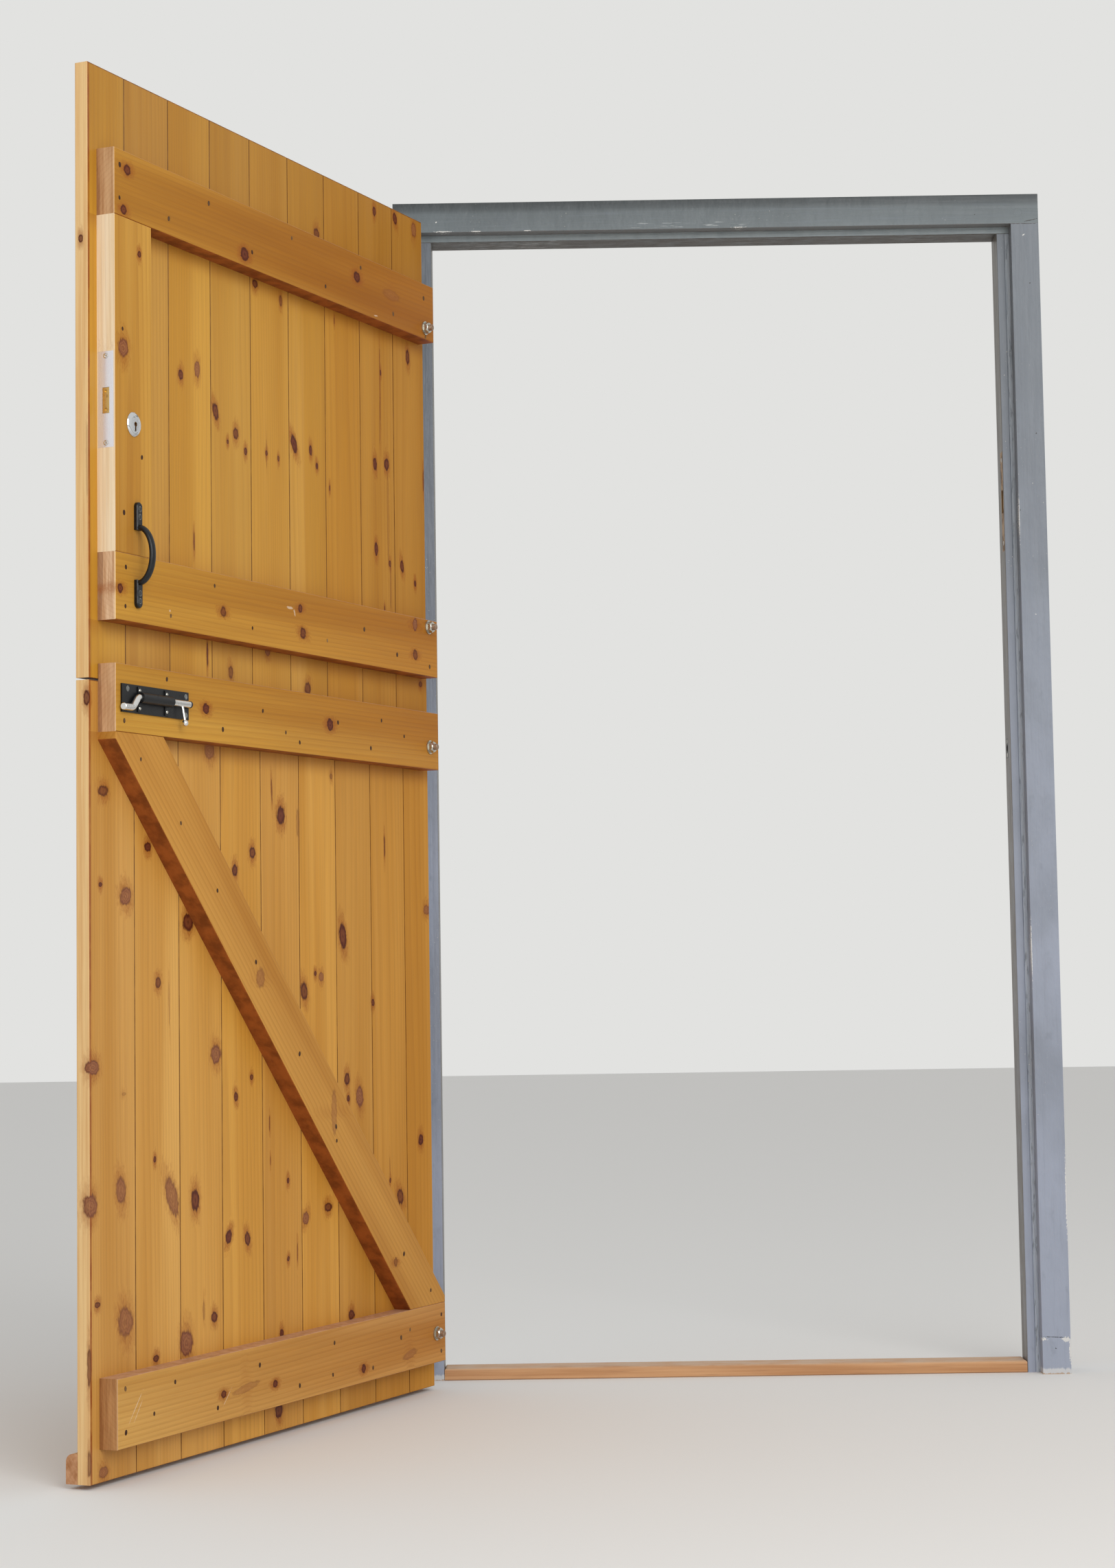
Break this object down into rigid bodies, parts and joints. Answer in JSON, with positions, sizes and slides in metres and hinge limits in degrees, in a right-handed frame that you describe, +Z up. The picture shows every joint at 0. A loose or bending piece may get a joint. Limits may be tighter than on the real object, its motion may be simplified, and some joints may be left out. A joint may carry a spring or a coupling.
{
  "type": "dutch stable door",
  "caption": "Ledged and boarded stable door in two leaves, on hook and band hinges in a rebated timber frame, with mortice deadlock, pull handle and necked sliding bolt.",
  "frame": {"origin": "on the floor under the threshold bar, in the middle of the frame's width and of its depth", "axes": "+Z up, +X from the hinge side to the lock side along the wall, +Y from outside to inside; the leaves open towards -Y"},
  "size_m": [1.5445, 1.1024, 2.043],
  "materials": {
    "frame_paint": "satin blue-grey paint on timber",
    "bare_timber": "bare, worn timber",
    "varnished_pine": "honey-coloured gloss varnish",
    "ledge_pine": "honey-coloured gloss varnish",
    "hinge_steel": "dull galvanised",
    "zinc_steel": "zinc plated, lightly rusted",
    "polished_steel": "polished",
    "bright_steel": "bright drawn",
    "brass": "dull brass",
    "chrome": "polished plate",
    "black_metal": "satin black",
    "black_iron": "satin black"
  },
  "bodies": {
    "frame": {"head": "frame_paint", "hinge_jamb": "frame_paint", "lock_jamb": "frame_paint", "frame_pegs": "frame_paint", "head_stop": "frame_paint", "hinge_stop": "frame_paint", "lock_stop": "frame_paint", "lock_stop_at_keeps": "frame_paint", "lock_packing_lath": "frame_paint", "threshold_bar": "bare_timber", "lock_keep": "brass", "bolt_keep": "black_metal", "upper_top_hook": "hinge_steel", "upper_bottom_hook": "hinge_steel", "lower_top_hook": "hinge_steel", "lower_bottom_hook": "hinge_steel", "frame_fixings": "zinc_steel"},
    "lower_leaf": {"lower_board_1": "varnished_pine", "lower_board_2": "varnished_pine", "lower_board_3": "varnished_pine", "lower_board_4": "varnished_pine", "lower_board_5": "varnished_pine", "lower_board_6": "varnished_pine", "lower_board_7": "varnished_pine", "lower_board_8": "varnished_pine", "lower_board_9": "varnished_pine", "lower_top_ledge": "ledge_pine", "lower_bottom_ledge": "ledge_pine", "brace": "ledge_pine", "weatherboard": "varnished_pine", "lower_top_band": "hinge_steel", "lower_bottom_band": "hinge_steel", "lower_coach_bolts": "zinc_steel", "lower_hinge_nuts": "zinc_steel", "bolt_plate": "black_metal", "bolt_barrel": "black_metal", "lower_fixings": "zinc_steel"},
    "upper_leaf": {"upper_board_1": "varnished_pine", "upper_board_2": "varnished_pine", "upper_board_3": "varnished_pine", "upper_board_4": "varnished_pine", "upper_board_5": "varnished_pine", "upper_board_6": "varnished_pine", "upper_board_7": "varnished_pine", "upper_board_8": "varnished_pine", "upper_board_9": "varnished_pine", "upper_top_ledge": "ledge_pine", "upper_bottom_ledge": "ledge_pine", "lock_block": "ledge_pine", "upper_top_band": "hinge_steel", "upper_bottom_band": "hinge_steel", "upper_coach_bolts": "zinc_steel", "upper_hinge_nuts": "zinc_steel", "lock_case": "black_metal", "lock_forend": "polished_steel", "escutcheons": "chrome", "pull_handle": "black_iron", "upper_fixings": "zinc_steel"},
    "deadbolt": {"deadbolt": "brass"},
    "bolt_rod": {"bolt_rod": "bright_steel"}
  },
  "joints": [
    {"name": "lower_leaf_swing", "type": "hinge", "parent": "frame", "child": "lower_leaf", "pos_m": [-0.5488, -0.0702, 0.1], "axis": [0, 0, -1], "range_deg": [-114.6, 5.4]},
    {"name": "upper_leaf_swing", "type": "hinge", "parent": "lower_leaf", "child": "upper_leaf", "pos_m": [-0.5488, -0.0702, 1.277], "axis": [0, 0, -1], "range_deg": [0, 90]},
    {"name": "deadbolt_throw", "type": "slide", "parent": "upper_leaf", "child": "deadbolt", "axis": [-0.4163, -0.9092, 0], "range_m": [0, 0.014]},
    {"name": "necked_bolt_slide", "type": "slide", "parent": "lower_leaf", "child": "bolt_rod", "axis": [-0.4163, -0.9092, 0], "range_m": [0, 0.024]}
  ]
}
